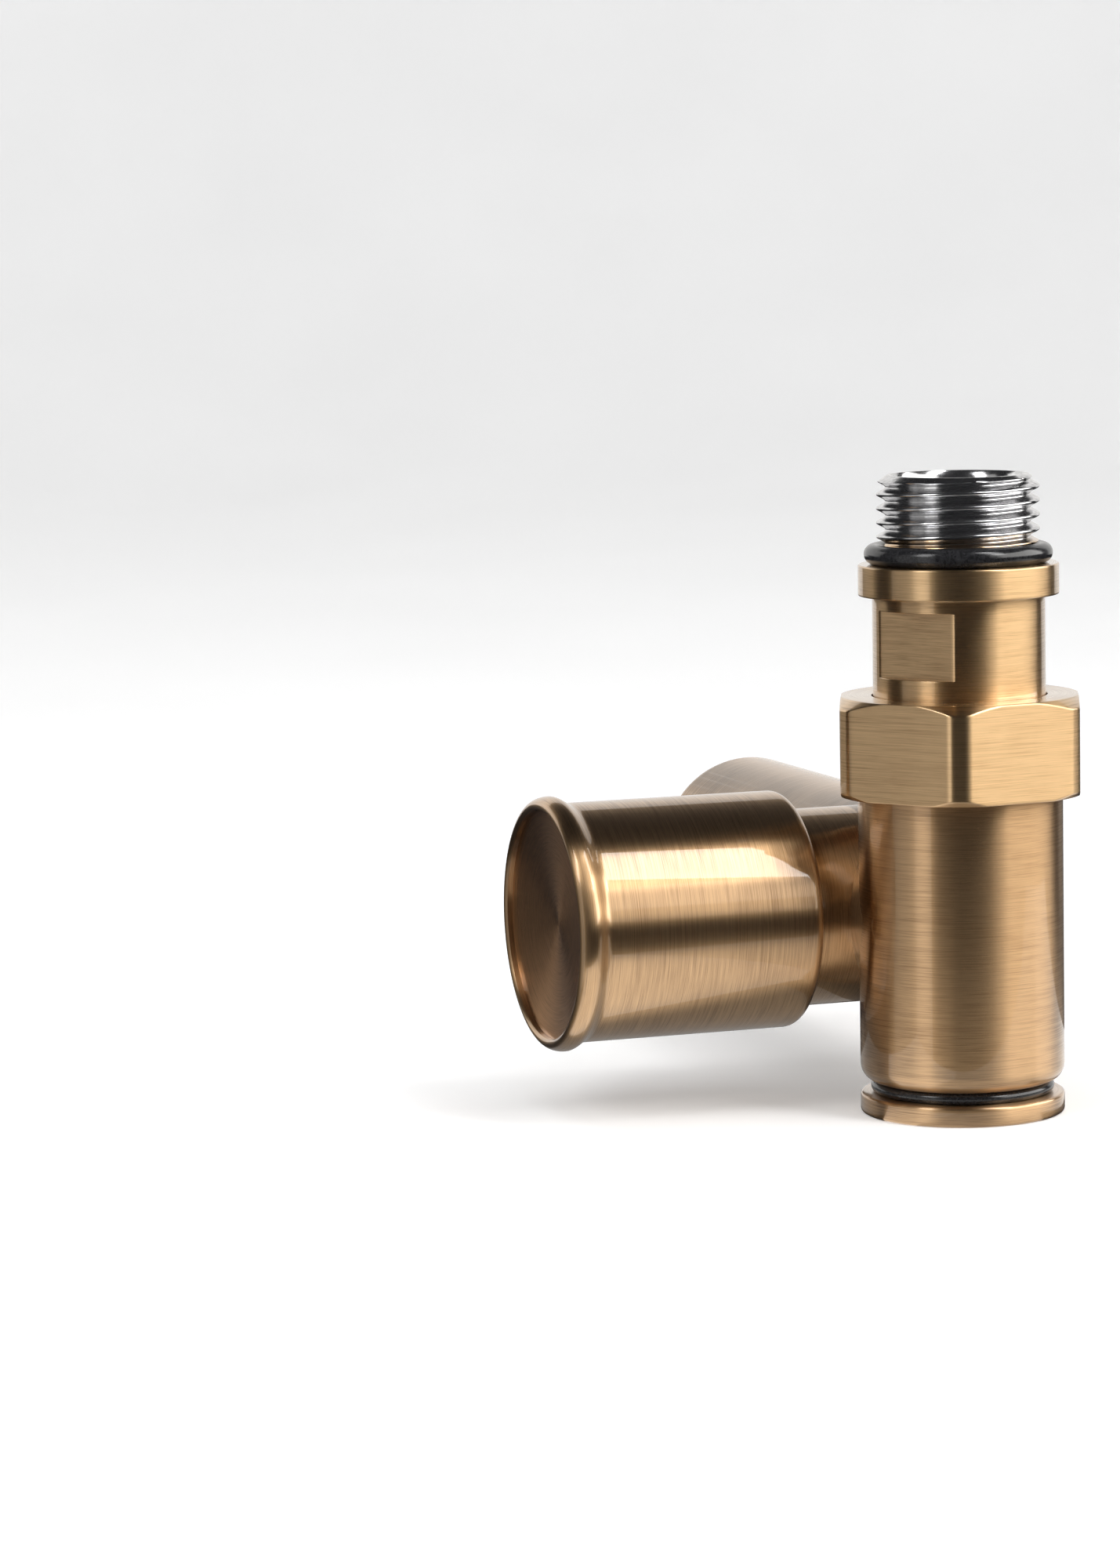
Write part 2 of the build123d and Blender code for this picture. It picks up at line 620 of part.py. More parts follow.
insert_outline = [
    (INSERT_START, INSERT_HUB_R),
    (INSERT_PLATE_START, INSERT_HUB_R),
    (INSERT_PLATE_START, KNOB_BORE_R),
    (CAP_SEAT, KNOB_BORE_R),
    (CAP_SEAT, KNOB_SCREW_HEAD_R + INSERT_SCREW_CLEARANCE),
    (KNOB_SCREW_SEAT, KNOB_SCREW_HEAD_R + INSERT_SCREW_CLEARANCE),
    (KNOB_SCREW_SEAT, KNOB_SCREW_HOLE_R),
    (SPLINE_END + SPLINE_END_CLEARANCE, KNOB_SCREW_HOLE_R),
    (SPLINE_END + SPLINE_END_CLEARANCE, SPLINE_ROOT_R),
    (INSERT_START, SPLINE_ROOT_R),
]
with BuildPart() as knob_insert:
    add(turned_on_head(insert_outline).part)
    with BuildSketch(head_section(INSERT_START)):
        with BuildLine():
            Polyline(*spline_points(SPLINE_CLEARANCE), close=True)
        make_face()
    extrude(amount=SPLINE_END + SPLINE_END_CLEARANCE - INSERT_START, mode=Mode.SUBTRACT)
save(knob_insert, "knob_insert")

knob_lock_washer = turned_on_head([
    (KNOB_SCREW_SEAT, LOCK_WASHER_BORE_R),
    (KNOB_SCREW_SEAT, KNOB_SCREW_HEAD_R),
    (KNOB_SCREW_SEAT + LOCK_WASHER_THICKNESS, KNOB_SCREW_HEAD_R),
    (KNOB_SCREW_SEAT + LOCK_WASHER_THICKNESS, LOCK_WASHER_BORE_R),
])
save(knob_lock_washer, "knob_lock_washer")

screw_head_start = KNOB_SCREW_SEAT + LOCK_WASHER_THICKNESS
screw_head_end = screw_head_start + KNOB_SCREW_HEAD_HEIGHT
with BuildPart() as knob_screw:
    add(turned_on_head([
        (KNOB_SCREW_START, 0),
        (KNOB_SCREW_START, KNOB_SCREW_R),
        (screw_head_start, KNOB_SCREW_R),
        (screw_head_start, KNOB_SCREW_HEAD_R),
        (screw_head_end - SCREW_CHAMFER, KNOB_SCREW_HEAD_R),
        (screw_head_end, KNOB_SCREW_HEAD_R - SCREW_CHAMFER),
        (screw_head_end, 0),
    ]).part)
    with BuildSketch(head_section(screw_head_end - KNOB_SCREW_HEX_DEPTH)):
        RegularPolygon(KNOB_SCREW_HEX_ACROSS / 2, 6, major_radius=False)
    extrude(amount=KNOB_SCREW_HEX_DEPTH, mode=Mode.SUBTRACT)
save(knob_screw, "knob_screw")

dish_depth = CAP_RIM - CAP_CENTRE
dish_r = (CAP_R**2 + dish_depth**2) / (2 * dish_depth)
with BuildPart() as knob_end_cap:
    add(turned_on_head([
        (CAP_BACK, 0),
        (CAP_BACK, CAP_R - CAP_SKIRT_WIDTH),
        (CAP_SEAT, CAP_R - CAP_SKIRT_WIDTH),
        (CAP_SEAT, CAP_R),
        (CAP_RIM, CAP_R),
        (CAP_RIM, 0),
    ]).part)
    with Locations((-CAP_CENTRE - dish_r, NECK_PLACE, ARM_HEIGHT)):
        Sphere(dish_r, mode=Mode.SUBTRACT)
save(knob_end_cap, "knob_end_cap")

with BuildPart() as knob_guide_ring:
    with BuildSketch(head_section(GUIDE_RING_PLACE)):
        Circle(GUIDE_RING_R)
        Circle(GUIDE_GROOVE_R, mode=Mode.SUBTRACT)
    extrude(amount=GUIDE_RING_WIDTH)
save(knob_guide_ring, "knob_guide_ring")
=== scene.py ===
"""Corner radiator valve in brushed antique bronze: detailed pieces, finishes, light and camera.

Lengths are written in millimetres and turned into metres by MM.  The barrel's axis is the Z axis,
the pipe arm runs back along +Y, and the knob's axis runs along -X from the arm, behind the barrel.
"""
from math import acos, cos, hypot, pi, radians, sin, tan

import bmesh
import bpy
from mathutils import Matrix, Vector


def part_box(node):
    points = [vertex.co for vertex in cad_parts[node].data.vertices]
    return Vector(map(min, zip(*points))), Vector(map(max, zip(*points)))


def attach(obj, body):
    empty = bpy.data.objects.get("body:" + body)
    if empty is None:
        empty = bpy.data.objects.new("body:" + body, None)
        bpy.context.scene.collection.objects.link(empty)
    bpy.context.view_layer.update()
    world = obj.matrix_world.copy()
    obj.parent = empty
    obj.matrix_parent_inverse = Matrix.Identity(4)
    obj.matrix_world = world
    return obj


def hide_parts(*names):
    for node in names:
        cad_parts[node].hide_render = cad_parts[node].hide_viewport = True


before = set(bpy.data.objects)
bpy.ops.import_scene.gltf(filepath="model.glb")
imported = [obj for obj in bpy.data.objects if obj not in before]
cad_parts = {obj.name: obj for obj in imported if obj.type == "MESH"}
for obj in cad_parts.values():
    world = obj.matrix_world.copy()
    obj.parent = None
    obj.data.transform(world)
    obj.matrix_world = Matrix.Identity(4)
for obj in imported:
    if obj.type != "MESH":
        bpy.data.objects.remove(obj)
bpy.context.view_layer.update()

MM = 0.001


def box_mm(node):
    """Lowest and highest corner of a CAD node, in millimetres."""
    low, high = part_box(node)
    return [c / MM for c in low], [c / MM for c in high]


# ---------------------------------------------------------------- places read from the frame
plug_high = box_mm("bottom_plug")[1]
ring_low, ring_high = box_mm("bottom_plug_o_ring")
nut_low, nut_high = box_mm("union_nut")
tail_low, tail_high = box_mm("radiator_tailpiece")
seal_low = box_mm("radiator_o_ring")[0]
snap_low, snap_high = box_mm("nut_retaining_ring")
shell_low, shell_high = box_mm("knob_shell")
cap_high = box_mm("knob_end_cap")[1]

AXIS_HEIGHT = (shell_low[2] + shell_high[2]) / 2
NECK_PLACE = (shell_low[1] + shell_high[1]) / 2
PLUG_HEAD_R = plug_high[0]
PLUG_TOP = plug_high[2]
PLUG_HEAD_TOP = ring_low[2]
BARREL_BOTTOM = ring_high[2]
NUT_BOTTOM = nut_low[2]
NUT_TOP = nut_high[2]
COLLAR_R = tail_high[0]
COLLAR_TOP = seal_low[2]
TAIL_BOTTOM = tail_low[2]
TAIL_TOP = tail_high[2]
SNAP_GROOVE_BOTTOM = snap_low[2]
SNAP_GROOVE_TOP = snap_high[2]
KNOB_BACK = -shell_high[0]
KNOB_FRONT = -shell_low[0]
BEAD_R = shell_high[1] - NECK_PLACE
CAP_R = cap_high[1] - NECK_PLACE
CAP_BACK = -cap_high[0]

# ---------------------------------------------------------------- sizes that the frame's boxes don't give
PLUG_HEX_HALF = 5.0
PLUG_HEX_DEPTH = 5.0
PLUG_HEX_POINT = 1.2
PLUG_HEX_CHAMFER = 0.35
PLUG_DRILL_SHARE = 0.86
PLUG_FOOT_R = 0.45
PLUG_FOOT_EDGE = 0.6
PLUG_RIM_R = 0.4
PLUG_GROOVE_R = 10.3
PLUG_SHANK_R = 9.98
PLUG_TIP_R = 9.0
PLUG_TIP_HEIGHT = 1.0

NUT_HALF_FLATS = 30.5 / 2
NUT_CORNER_R = 17.0
NUT_TOP_CIRCLE_R = 15.3
NUT_BOTTOM_CIRCLE_R = 15.9
NUT_CHAMFER = tan(radians(34))
NUT_CORNER_ANGLE = radians(6.5)
NUT_CORNER_BLEND = 0.3
NUT_LEAST_CHAMFER = 0.15
NUT_BORE_R = 12.15
LIP_BORE_R = 11.3
LIP_BOTTOM = 51.4

TAIL_R = 11.1
TAIL_BORE_R = 8.0
TAIL_MOUTH_R = 8.5
TAIL_MOUTH_DEPTH = 1.0
MOUTH_EDGE_WIDTH = 0.1
MOUTH_EDGE_DEPTH = 0.12
COLLAR_HEIGHT = 4.0
FLATS_HALF = 9.5
FLATS_ANGLE = radians(32)
FLATS_HEIGHTS = (56.9, 65.4)
SNAP_GROOVE_R = 10.2

THREAD_PITCH = 1.814
THREAD_MAJOR_R = 20.955 / 2
THREAD_DEPTH = 1.162
THREAD_PEAK_DEPTH = 1.742
THREAD_ROUNDING = 0.22
THREAD_END_R = 9.0
THREAD_END_SLOPE = 1.55
RELIEF_R = 9.45
RELIEF_HEIGHT = 2.15
RUNOUT_HEIGHT = 0.7

KNOB_R = 15.6
KNOB_BORE_R = 14.0
KNOB_BACK_ROUND = 1.4
BEAD_NOSE = 1.9
BEAD_DROP = 1.15
BEAD_RUN = 2.4
LIP_TIP_DEPTH = 0.05
LIP_WIDTH = 0.25
LIP_DEPTH = 0.3
LIP_GAP = 0.02
SKIRT_EDGE_DEPTH = 0.25
SKIRT_EDGE_WIDTH = 0.15
STRAIGHT_START = 2.0
STRAIGHT_GAP = 0.1

BARREL_R = 13.2
NECK_R = 13.0
ARM_R = 13.1
NECK_SIDE = -8.0

# ---------------------------------------------------------------- how finely the pieces are made
ROUND_STEPS = 192
NUT_FINE_STEP = 0.5
NUT_FINE_COUNT = 18
NUT_WIDE_STEP = 3
NUT_WIDE_COUNT = 13
FLAT_STEPS = 24
TUBE_STEPS = 80
THREAD_COLUMNS = 240
THREAD_ROWS_A_TURN = 18
THREAD_SPARE_TURNS = 3
THREAD_SPARE_ROWS = 2
KNOB_BACK_STEPS = 10
KNOB_STRAIGHT_STEPS = 6
BEAD_RUN_STEPS = 12
BEAD_NOSE_STEPS = 16
CORNER_STEPS = 4
QUARTER_TURN = [pi / 2 * i / CORNER_STEPS for i in range(CORNER_STEPS + 1)]

# Widths of the rounded corners, by their place in the outline, and the most of a side they may take.
NUT_EDGES = {1: 0.15, 2: 0.2, 3: 0.2, 4: 0.15, 5: 0.15}
TUBE_EDGES = {6: 0.12, 9: 0.12, 10: 0.3, 11: 0.25, 12: 0.25}
LARGEST_SHARE = 0.45

TINY_ANGLE = 1e-9
SHARP_ANGLE = radians(35)
SHARP_KNOB_ANGLE = radians(40)
SHARP_THREAD_ANGLE = radians(50)


# ================================================================ mesh tools
def place_z(along, radius, angle):
    """A point round the barrel's axis."""
    return radius * cos(angle), radius * sin(angle), along


def place_head(along, radius, angle):
    """A point round the knob's axis."""
    return -along, NECK_PLACE + radius * cos(angle), AXIS_HEIGHT + radius * sin(angle)


def evaluate(value, angle):
    """A row's value, which is a number or a function of the angle."""
    return value(angle) if callable(value) else value


def new_object(name, verts, faces, body, merge=1e-7):
    """A mesh object from points in millimetres, cleaned, with normals outward, riding on a body."""
    mesh = bpy.data.meshes.new(name)
    mesh.from_pydata([(x * MM, y * MM, z * MM) for x, y, z in verts], [], faces)
    bm = bmesh.new()
    bm.from_mesh(mesh)
    bmesh.ops.remove_doubles(bm, verts=bm.verts, dist=merge)
    bmesh.ops.dissolve_degenerate(bm, edges=bm.edges, dist=merge)
    bmesh.ops.recalc_face_normals(bm, faces=bm.faces)
    bm.to_mesh(mesh)
    bm.free()
    mesh.shade_smooth()
    piece = bpy.data.objects.new(name, mesh)
    bpy.context.scene.collection.objects.link(piece)
    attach(piece, body)
    return piece


def grid_faces(rows, columns, ring=True, loop=False):
    """Faces between the neighbours in a grid of points that is given row by row.

    ring joins the last column to the first, and loop joins the last row to the first.
    """
    faces = []
    for row in range(rows if loop else rows - 1):
        below = row * columns
        above = ((row + 1) % rows) * columns
        for i in range(columns if ring else columns - 1):
            j = (i + 1) % columns
            faces.append((below + i, below + j, above + j, above + i))
    return faces


def turned(name, rows, body, place=place_z, angles=None, closed=True):
    """A turned piece.  rows is a list of (along, radius), or a function that gives one for each angle.

    In a list either number may be a function of the angle.  closed joins the last row to the first,
    for a ring; otherwise rows of radius 0 close the ends.
    """
    if angles is None:
        angles = [2 * pi * i / ROUND_STEPS for i in range(ROUND_STEPS)]
    count = len(angles)
    if callable(rows):
        outlines = [rows(angle) for angle in angles]
    else:
        outlines = [[(evaluate(along, a), evaluate(radius, a)) for along, radius in rows] for a in angles]
    levels = len(outlines[0])
    verts = [place(*outlines[i][level], angles[i]) for level in range(levels) for i in range(count)]
    faces = grid_faces(levels, count, loop=closed)
    return new_object(name, verts, faces, body)


def rounded(points, widths):
    """A closed outline with some corners rounded; widths gives each such corner's size by its index."""
    result = []
    for i, corner in enumerate(points):
        if i not in widths:
            result.append(corner)
            continue
        ends = []
        for other in (points[i - 1], points[(i + 1) % len(points)]):
            gap = hypot(other[0] - corner[0], other[1] - corner[1])
            share = min(widths[i] / gap, LARGEST_SHARE) if gap > 0 else 0
            ends.append([corner[k] + (other[k] - corner[k]) * share for k in (0, 1)])
        for step in range(CORNER_STEPS + 1):
            t = step / CORNER_STEPS
            weights = ((1 - t) ** 2, 2 * t * (1 - t), t * t)
            curve = (ends[0], corner, ends[1])
            result.append(tuple(sum(w * point[k] for w, point in zip(weights, curve)) for k in (0, 1)))
    return result


def even_shading(piece):
    """Keeps broad faces flat next to their rounded edges."""
    piece.data.set_sharp_from_angle(angle=SHARP_ANGLE)
    even = piece.modifiers.new("shading", "WEIGHTED_NORMAL")
    even.keep_sharp = True


# ================================================================ pieces
def make_plug():
    """Bottom plug: rounded head, plain shank, hexagon recess in its foot."""

    def hexagon(angle):
        return PLUG_HEX_HALF / cos((angle + pi / 6) % (pi / 3) - pi / 6)

    foot = PLUG_FOOT_R
    rim = PLUG_RIM_R
    rows = [
        (PLUG_HEX_DEPTH + PLUG_HEX_POINT, 0),
        (PLUG_HEX_DEPTH, lambda angle: PLUG_DRILL_SHARE * hexagon(angle)),
        (PLUG_HEX_DEPTH, hexagon),
        (PLUG_HEX_CHAMFER, hexagon),
        (0, lambda angle: hexagon(angle) + PLUG_HEX_CHAMFER),
        (0, PLUG_HEAD_R - PLUG_FOOT_EDGE),
    ]
    rows += [(foot - foot * cos(t), PLUG_HEAD_R - foot + foot * sin(t)) for t in QUARTER_TURN]
    rows += [(PLUG_HEAD_TOP - rim + rim * sin(t), PLUG_HEAD_R - rim + rim * cos(t)) for t in QUARTER_TURN]
    rows += [
        (PLUG_HEAD_TOP, PLUG_GROOVE_R),
        (BARREL_BOTTOM, PLUG_GROOVE_R),
        (BARREL_BOTTOM, PLUG_SHANK_R),
        (PLUG_TOP - PLUG_TIP_HEIGHT, PLUG_SHANK_R),
        (PLUG_TOP, PLUG_TIP_R),
        (PLUG_TOP, 0),
    ]
    piece = turned("bottom_plug_turned", rows, "valve", closed=False)
    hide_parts("bottom_plug")
    piece.data.set_sharp_from_angle(angle=SHARP_ANGLE)


def make_nut():
    """Union nut: hexagon with turned corners, chamfered both ends, edges rounded."""

    def outline(angle):
        turn = (angle - NUT_CORNER_ANGLE) % (pi / 3) - pi / 6
        side = soft_limit(NUT_HALF_FLATS / cos(turn), NUT_CORNER_R, NUT_CORNER_BLEND)
        upper_r = min(NUT_TOP_CIRCLE_R, side - NUT_LEAST_CHAMFER)
        lower_r = min(NUT_BOTTOM_CIRCLE_R, side - NUT_LEAST_CHAMFER)
        points = [
            (NUT_BOTTOM, NUT_BORE_R),
            (NUT_BOTTOM, lower_r),
            (NUT_BOTTOM + (side - lower_r) * NUT_CHAMFER, side),
            (NUT_TOP - (side - upper_r) * NUT_CHAMFER, side),
            (NUT_TOP, upper_r),
            (NUT_TOP, LIP_BORE_R),
            (LIP_BOTTOM, LIP_BORE_R),
            (LIP_BOTTOM, NUT_BORE_R),
        ]
        return rounded(points, NUT_EDGES)

    # Close columns across each corner, wide ones between the corners.
    angles = []
    reach = NUT_FINE_STEP * NUT_FINE_COUNT
    for corner in range(6):
        middle = NUT_CORNER_ANGLE + corner * pi / 3
        angles += [middle + radians(NUT_FINE_STEP * k) for k in range(-NUT_FINE_COUNT, NUT_FINE_COUNT + 1)]
        angles += [middle + radians(reach + NUT_WIDE_STEP * k) for k in range(1, NUT_WIDE_COUNT + 1)]
    piece = turned("union_nut_turned", outline, "nut", angles=angles)
    even_shading(piece)
    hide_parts("union_nut")


def make_tube():
    """Lower part of the tailpiece: tube, ring groove, spanner flats and collar."""
    flat_turn = acos(FLATS_HALF / TAIL_R)
    round_turn = pi - 2 * flat_turn
    collar_bottom = COLLAR_TOP - COLLAR_HEIGHT

    def milled(angle):
        turn = (angle - FLATS_ANGLE + pi / 2) % pi - pi / 2
        return min(TAIL_R, FLATS_HALF / cos(turn)) if abs(turn) < flat_turn + TINY_ANGLE else TAIL_R

    def outline(angle):
        flat_r = milled(angle)
        points = [
            (TAIL_BOTTOM, TAIL_BORE_R),
            (TAIL_BOTTOM, TAIL_R),
            (SNAP_GROOVE_BOTTOM, TAIL_R),
            (SNAP_GROOVE_BOTTOM, SNAP_GROOVE_R),
            (SNAP_GROOVE_TOP, SNAP_GROOVE_R),
            (SNAP_GROOVE_TOP, TAIL_R),
            (FLATS_HEIGHTS[0], TAIL_R),
            (FLATS_HEIGHTS[0], flat_r),
            (FLATS_HEIGHTS[1], flat_r),
            (FLATS_HEIGHTS[1], TAIL_R),
            (collar_bottom, TAIL_R),
            (collar_bottom, COLLAR_R),
            (COLLAR_TOP, COLLAR_R),
            (COLLAR_TOP, TAIL_BORE_R),
        ]
        return rounded(points, TUBE_EDGES)

    angles = []
    for side in range(2):
        middle = FLATS_ANGLE + side * pi
        angles += [middle - flat_turn + 2 * flat_turn * k / FLAT_STEPS for k in range(FLAT_STEPS + 1)]
        angles += [middle + flat_turn + round_turn * k / TUBE_STEPS for k in range(1, TUBE_STEPS)]
    piece = turned("tailpiece_tube", outline, "tailpiece", angles=angles)
    even_shading(piece)
    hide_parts("radiator_tailpiece")


def soft_limit(value, limit, blend):
    """The smaller of value and limit, rounded where they meet."""
    mix = max(blend - abs(value - limit), 0) / blend
    return min(value, limit) - mix * mix * blend / 4


def thread_radius(angle, height):
    """Outside radius of the rounded 55 degree thread at an angle and a height."""
    turn = ((height - COLLAR_TOP) / THREAD_PITCH - angle / (2 * pi)) % 1.0
    wave = 1 - 2 * abs(turn - 0.5)
    half = THREAD_DEPTH / 2
    raised = soft_limit((wave - 0.5) * THREAD_PEAK_DEPTH, half, THREAD_ROUNDING)
    raised = -soft_limit(-raised, half, THREAD_ROUNDING)
    radius = THREAD_MAJOR_R - half + raised
    radius = min(radius, THREAD_END_R + (TAIL_TOP - height) * THREAD_END_SLOPE)
    runout = min(max((height - COLLAR_TOP - RELIEF_HEIGHT) / RUNOUT_HEIGHT, 0), 1)
    return RELIEF_R + (radius - RELIEF_R) * runout


def make_thread():
    """Upper part of the tailpiece: a true helical thread with its run-out, chamfer, mouth and bore."""
    turns = int((TAIL_TOP - COLLAR_TOP) / THREAD_PITCH) + THREAD_SPARE_TURNS
    width = THREAD_COLUMNS + 1
    angles = [2 * pi * column / THREAD_COLUMNS for column in range(width)]
    grid = []
    for row in range(-THREAD_ROWS_A_TURN - THREAD_SPARE_ROWS, turns * THREAD_ROWS_A_TURN):
        line = []
        for angle in angles:
            height = COLLAR_TOP + THREAD_PITCH * (row / THREAD_ROWS_A_TURN + angle / (2 * pi))
            height = min(max(height, COLLAR_TOP), TAIL_TOP)
            line.append((height, thread_radius(angle, height)))
        grid.append(line)
    for height, radius in (
        (TAIL_TOP, TAIL_MOUTH_R + MOUTH_EDGE_WIDTH),
        (TAIL_TOP - MOUTH_EDGE_DEPTH, TAIL_MOUTH_R),
        (TAIL_TOP - TAIL_MOUTH_DEPTH, TAIL_BORE_R),
        (COLLAR_TOP, TAIL_BORE_R),
    ):
        grid.append([(height, radius)] * width)
    verts = [place_z(*point, angle) for line in grid for point, angle in zip(line, angles)]
    faces = grid_faces(len(grid), width, ring=False, loop=True)
    piece = new_object("tailpiece_thread", verts, faces, "tailpiece", merge=2e-6)
    piece.data.set_sharp_from_angle(angle=SHARP_THREAD_ANGLE)
    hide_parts("radiator_tailpiece")


def make_knob():
    """Knob shell with its rolled bead, its lip round the face and its rounded back edge."""
    bead_start = KNOB_FRONT - BEAD_NOSE - BEAD_RUN
    crest = KNOB_FRONT - BEAD_NOSE
    round_back = KNOB_BACK_ROUND
    rows = [
        (CAP_BACK, KNOB_BORE_R),
        (KNOB_BACK + SKIRT_EDGE_DEPTH, KNOB_BORE_R),
        (KNOB_BACK, KNOB_BORE_R + SKIRT_EDGE_WIDTH),
    ]
    for i in range(KNOB_BACK_STEPS + 1):
        turn = pi / 2 * (1 - i / KNOB_BACK_STEPS)
        rows.append((KNOB_BACK + round_back * (1 - sin(turn)), KNOB_R - round_back * (1 - cos(turn))))
    straight_start = KNOB_BACK + STRAIGHT_START
    straight_length = bead_start - STRAIGHT_GAP - straight_start
    for i in range(KNOB_STRAIGHT_STEPS + 1):
        rows.append((straight_start + straight_length * i / KNOB_STRAIGHT_STEPS, KNOB_R))
    # Concave run up from the shell, then over the bead's round and into the lip.
    for i in range(BEAD_RUN_STEPS + 1):
        t = i / BEAD_RUN_STEPS
        rows.append((bead_start + t * BEAD_RUN, KNOB_R + (BEAD_R - KNOB_R) * (0.5 - 0.5 * cos(pi * t))))
    for i in range(1, BEAD_NOSE_STEPS + 1):
        turn = pi / 2 * i / BEAD_NOSE_STEPS
        rows.append((crest + BEAD_NOSE * sin(turn), BEAD_R - BEAD_DROP * (1 - cos(turn))))
    rows += [
        (KNOB_FRONT - LIP_TIP_DEPTH, CAP_R + LIP_WIDTH),
        (KNOB_FRONT - LIP_DEPTH, CAP_R + LIP_GAP),
        (CAP_BACK, CAP_R + LIP_GAP),
    ]
    shell = turned("knob_shell_turned", rows, "knob", place=place_head)
    shell.data.set_sharp_from_angle(angle=SHARP_KNOB_ANGLE)
    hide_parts("knob_shell")


make_plug()
make_nut()
make_tube()
make_thread()
make_knob()


# ================================================================ finishes
class Tree:
    """Short calls for building a material's nodes."""

    def __init__(self, name):
        self.material = bpy.data.materials.new(name)
        self.material.use_nodes = True
        self.nodes = self.material.node_tree.nodes
        self.links = self.material.node_tree.links
        self.shader = self.nodes["Principled BSDF"]

    def put(self, socket, value):
        """Sets an input to a number or colour, or links it to another node's output."""
        if isinstance(value, bpy.types.NodeSocket):
            self.links.new(value, socket)
        else:
            socket.default_value = value

    def math(self, operation, a, b=0.0):
        node = self.nodes.new("ShaderNodeMath")
        node.operation = operation
        self.put(node.inputs[0], a)
        self.put(node.inputs[1], b)
        return node.outputs[0]

    def vector(self, operation, a, b=(0.0, 0.0, 0.0), scale=None):
        node = self.nodes.new("ShaderNodeVectorMath")
        node.operation = operation
        self.put(node.inputs[0], a)
        self.put(node.inputs[1], b)
        if scale is not None:
            self.put(node.inputs["Scale"], scale)
        return node.outputs["Value"] if operation in ("DOT_PRODUCT", "LENGTH") else node.outputs["Vector"]

    def noise(self, vector, scale, detail=2.0, roughness=0.5):
        node = self.nodes.new("ShaderNodeTexNoise")
        self.put(node.inputs["Vector"], vector)
        node.inputs["Scale"].default_value = scale
        node.inputs["Detail"].default_value = detail
        node.inputs["Roughness"].default_value = roughness
        return node.outputs["Fac"]

    def ramp(self, factor, stops):
        node = self.nodes.new("ShaderNodeValToRGB")
        self.put(node.inputs["Fac"], factor)
        elements = node.color_ramp.elements
        while len(elements) < len(stops):
            elements.new(0.5)
        for element, (place, colour) in zip(elements, stops):
            element.position = place
            element.color = (*colour, 1)
        return node.outputs["Color"]

    def mix(self, factor, a, b):
        node = self.nodes.new("ShaderNodeMix")
        node.data_type = "RGBA"
        self.put(node.inputs[0], factor)
        self.put(node.inputs[6], a)
        self.put(node.inputs[7], b)
        return node.outputs[2]

    def scale_range(self, value, low, high, to_low, to_high):
        node = self.nodes.new("ShaderNodeMapRange")
        self.put(node.inputs[0], value)
        for index, number in enumerate((low, high, to_low, to_high), start=1):
            node.inputs[index].default_value = number
        return node.outputs[0]

    def bump(self, height, strength, distance):
        node = self.nodes.new("ShaderNodeBump")
        node.inputs["Strength"].default_value = strength
        node.inputs["Distance"].default_value = distance * MM
        self.put(node.inputs["Height"], height)
        return node.outputs["Normal"]

    def position(self):
        """Place on the piece in millimetres."""
        node = self.nodes.new("ShaderNodeTexCoord")
        return self.vector("SCALE", node.outputs["Object"], scale=1 / MM)

    def normal(self):
        """The surface's direction in the piece's own axes."""
        return self.nodes.new("ShaderNodeTexCoord").outputs["Normal"]

    def to_world(self, vector):
        """Turns a direction on the piece into one in the scene, so that it follows the piece's joint."""
        node = self.nodes.new("ShaderNodeVectorTransform")
        node.vector_type = "VECTOR"
        node.convert_from = "OBJECT"
        node.convert_to = "WORLD"
        self.put(node.inputs[0], vector)
        return node.outputs[0]

    def set(self, **inputs):
        for key, value in inputs.items():
            self.put(self.shader.inputs[key.replace("_", " ")], value)


HEAD_AXIS = ((1, 0, 0), (0, NECK_PLACE, AXIS_HEIGHT))
ARM_AXIS = ((0, 1, 0), (0, 0, AXIS_HEIGHT))
BARREL_AXIS = ((0, 0, 1), (0, 0, 0))

# Layers of brushing: how fast each changes across the strokes and round the axis, and its detail.
STROKE_LAYERS = ((9.0, 2.2, 3.0), (2.6, 0.9, 2.0))
# Between these shares of the normal along the axis, a piece's side turns into its end face.
END_FACE_FROM = 0.72
END_FACE_TO = 0.80
# Shares of the fine and broad strokes and of the blotches in the metal's tone.
FINE_SHARE = 0.75
BROAD_SHARE = 0.25
BLOTCH_SHARE = 0.3


def brush_lines(tree, point, normal, axis, centre):
    """Brushing that runs round an axis: (fine streaks, broad streaks, direction across the strokes)."""
    local = tree.vector("SUBTRACT", point, centre)
    along = tree.vector("DOT_PRODUCT", local, axis)
    on_axis = tree.vector("SCALE", axis, scale=along)
    outward = tree.vector("SUBTRACT", local, on_axis)
    unit = tree.vector("NORMALIZE", outward)
    facing = tree.math("ABSOLUTE", tree.vector("DOT_PRODUCT", normal, axis))
    end_face = tree.scale_range(facing, END_FACE_FROM, END_FACE_TO, 0.0, 1.0)
    # Across the strokes the pattern changes fast, round the axis it changes slowly.
    across = tree.math("ADD", along, tree.math("MULTIPLY", tree.vector("LENGTH", outward), end_face))
    layers = []
    for over, around, detail in STROKE_LAYERS:
        stretched = tree.vector("SCALE", axis, scale=tree.math("MULTIPLY", across, over))
        place = tree.vector("ADD", stretched, tree.vector("SCALE", unit, scale=around))
        layers.append(tree.noise(place, 1.0, detail, 0.6))
    strokes = tree.vector("CROSS_PRODUCT", axis, unit)
    return layers[0], layers[1], tree.vector("CROSS_PRODUCT", strokes, normal)


